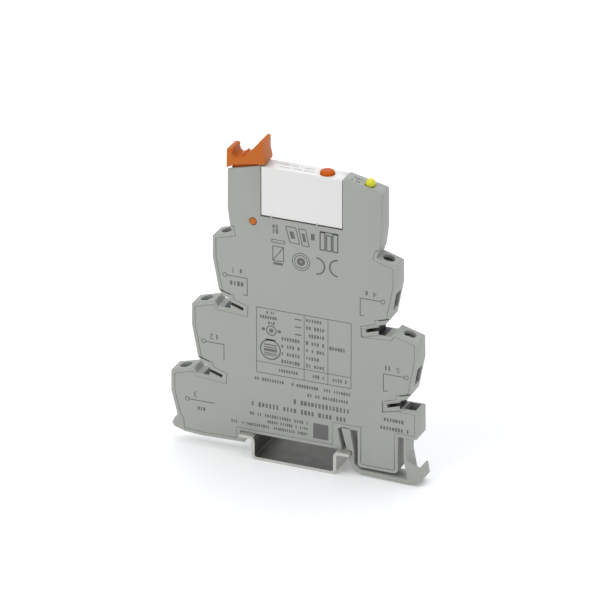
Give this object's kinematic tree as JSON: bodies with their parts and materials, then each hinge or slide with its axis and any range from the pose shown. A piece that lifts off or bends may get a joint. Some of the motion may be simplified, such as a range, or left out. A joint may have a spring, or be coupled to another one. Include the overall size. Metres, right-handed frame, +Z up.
{
  "type": "industrial control relay",
  "caption": "Slim rail-mounted relay module with stepped screw terminals, a plug-in relay, an ejector lever, a test button and a sprung rail foot.",
  "frame": {"origin": "middle of the flat seat that stands on the rail's top flanges, on the rail's centre line and half way through the module's width", "axes": "+Z up, away from the rail; +X across the rail, from the fixed hook to the sprung foot; +Y along the rail, from the printed cover to the closed back"},
  "size_m": [0.08, 0.0062, 0.1023],
  "materials": {
    "housing_plastic": "fine-textured moulded polyamide",
    "relay_plastic": "smooth moulded plastic",
    "lever_plastic": "moulded plastic",
    "button_plastic": "smooth moulded plastic",
    "lamp_lens": "translucent epoxy",
    "zinc_steel": "zinc plated",
    "contact_metal": "tin-plated copper alloy",
    "copper_wire": "enamelled winding wire",
    "soft_iron": "nickel-plated iron",
    "dark_moulding": "moulded plastic",
    "board_laminate": "glass-epoxy laminate with solder mask",
    "component_ceramic": "matt lacquer",
    "pin_silver": "tin plated"
  },
  "bodies": {
    "root": {"base_housing": "housing_plastic", "front_cover": "housing_plastic", "circuit_board": "board_laminate", "series_resistor": "component_ceramic", "rectifier_diode": "dark_moulding", "smoothing_capacitor": "component_ceramic", "output_transistor": "dark_moulding", "indicator_lamp": "lamp_lens", "lamp_holder": "dark_moulding", "coil_socket_a": "contact_metal", "coil_socket_b": "contact_metal", "common_socket": "contact_metal", "output_socket": "contact_metal", "contact_bar_1": "contact_metal", "contact_bar_2": "contact_metal", "contact_bar_3": "contact_metal", "contact_bar_4": "contact_metal", "contact_bar_5": "contact_metal", "bridge_contact_1": "contact_metal", "bridge_contact_2": "contact_metal", "bridge_contact_3": "contact_metal", "bridge_contact_4": "contact_metal"},
    "lever": {"eject_lever": "lever_plastic"},
    "relay": {"relay_case": "relay_plastic", "relay_base": "dark_moulding", "bobbin": "dark_moulding", "coil_winding": "copper_wire", "coil_core": "soft_iron", "yoke": "soft_iron", "fixed_contact": "contact_metal", "button_spring": "zinc_steel", "coil_pin_a": "pin_silver", "coil_pin_b": "pin_silver", "common_pin": "pin_silver", "output_pin": "pin_silver"},
    "button": {"test_button": "button_plastic"},
    "armature": {"armature": "soft_iron"},
    "card": {"actuator_card": "dark_moulding"},
    "contact_spring": {"moving_contact": "contact_metal"},
    "foot": {"din_foot": "housing_plastic"},
    "screw_1": {"clamp_screw_1": "zinc_steel"},
    "cage_1": {"clamp_cage_1": "zinc_steel"},
    "screw_2": {"clamp_screw_2": "zinc_steel"},
    "cage_2": {"clamp_cage_2": "zinc_steel"},
    "screw_3": {"clamp_screw_3": "zinc_steel"},
    "cage_3": {"clamp_cage_3": "zinc_steel"},
    "screw_4": {"clamp_screw_4": "zinc_steel"},
    "cage_4": {"clamp_cage_4": "zinc_steel"},
    "screw_5": {"clamp_screw_5": "zinc_steel"},
    "cage_5": {"clamp_cage_5": "zinc_steel"}
  },
  "joints": [
    {"name": "lever_swing", "type": "hinge", "parent": "root", "child": "lever", "pos_m": [-0.01365, 0, 0.06895], "axis": [0, -1, 0], "range_deg": [0, 35]},
    {"name": "relay_lift", "type": "slide", "parent": "root", "child": "relay", "axis": [0, 0, 1], "range_m": [0, 0.0024]},
    {"name": "button_press", "type": "slide", "parent": "relay", "child": "button", "axis": [0, 0, -1], "range_m": [0, 0.0009], "stiffness_N_per_m": 600, "deforming": ["button_spring"]},
    {"name": "armature_swing", "type": "hinge", "parent": "relay", "child": "armature", "pos_m": [0.0031, 0, 0.0802], "axis": [0, 1, 0], "range_deg": [0, 6.1]},
    {"name": "card_shift", "type": "slide", "parent": "relay", "child": "card", "axis": [1, 0, 0], "range_m": [0, 0.00027]},
    {"name": "contact_flex", "type": "hinge", "parent": "relay", "child": "contact_spring", "pos_m": [0.00885, 0, 0.0732], "axis": [0, 1, 0], "range_deg": [0, 1.3]},
    {"name": "foot_spring", "type": "slide", "parent": "root", "child": "foot", "axis": [1, 0, 0], "range_m": [0, 0.001], "stiffness_N_per_m": 3000},
    {"name": "screw_1_turn", "type": "hinge", "parent": "root", "child": "screw_1", "pos_m": [-0.0229, 0, 0.0632], "axis": [0.2419, 0, -0.9703], "range_deg": [0, 1440]},
    {"name": "cage_1_rise", "type": "slide", "parent": "root", "child": "cage_1", "axis": [-0.2419, 0, 0.9703], "range_m": [0, 0.002]},
    {"name": "screw_2_turn", "type": "hinge", "parent": "root", "child": "screw_2", "pos_m": [-0.0297, 0, 0.0401], "axis": [0.2419, 0, -0.9703], "range_deg": [0, 1440]},
    {"name": "cage_2_rise", "type": "slide", "parent": "root", "child": "cage_2", "axis": [-0.2419, 0, 0.9703], "range_m": [0, 0.002]},
    {"name": "screw_3_turn", "type": "hinge", "parent": "root", "child": "screw_3", "pos_m": [-0.0365, 0, 0.017], "axis": [0.2419, 0, -0.9703], "range_deg": [0, 1440]},
    {"name": "cage_3_rise", "type": "slide", "parent": "root", "child": "cage_3", "axis": [-0.2419, 0, 0.9703], "range_m": [0, 0.002]},
    {"name": "screw_4_turn", "type": "hinge", "parent": "root", "child": "screw_4", "pos_m": [0.0278, 0, 0.0632], "axis": [-0.2419, 0, -0.9703], "range_deg": [0, 1440]},
    {"name": "cage_4_rise", "type": "slide", "parent": "root", "child": "cage_4", "axis": [0.2419, 0, 0.9703], "range_m": [0, 0.002]},
    {"name": "screw_5_turn", "type": "hinge", "parent": "root", "child": "screw_5", "pos_m": [0.0346, 0, 0.0401], "axis": [-0.2419, 0, -0.9703], "range_deg": [0, 1440]},
    {"name": "cage_5_rise", "type": "slide", "parent": "root", "child": "cage_5", "axis": [0.2419, 0, 0.9703], "range_m": [0, 0.002]}
  ],
  "couplings": [
    {"joint": "relay_lift", "follows": "lever_swing", "m_per_rad": 0.0039},
    {"joint": "armature_swing", "follows": "button_press", "rad_per_m": 116.36},
    {"joint": "card_shift", "follows": "button_press", "ratio": 0.2889},
    {"joint": "contact_flex", "follows": "button_press", "rad_per_m": 24.44},
    {"joint": "screw_1_turn", "follows": "cage_1_rise", "rad_per_m": 12566},
    {"joint": "screw_2_turn", "follows": "cage_2_rise", "rad_per_m": 12566},
    {"joint": "screw_3_turn", "follows": "cage_3_rise", "rad_per_m": 12566},
    {"joint": "screw_4_turn", "follows": "cage_4_rise", "rad_per_m": 12566},
    {"joint": "screw_5_turn", "follows": "cage_5_rise", "rad_per_m": 12566}
  ]
}
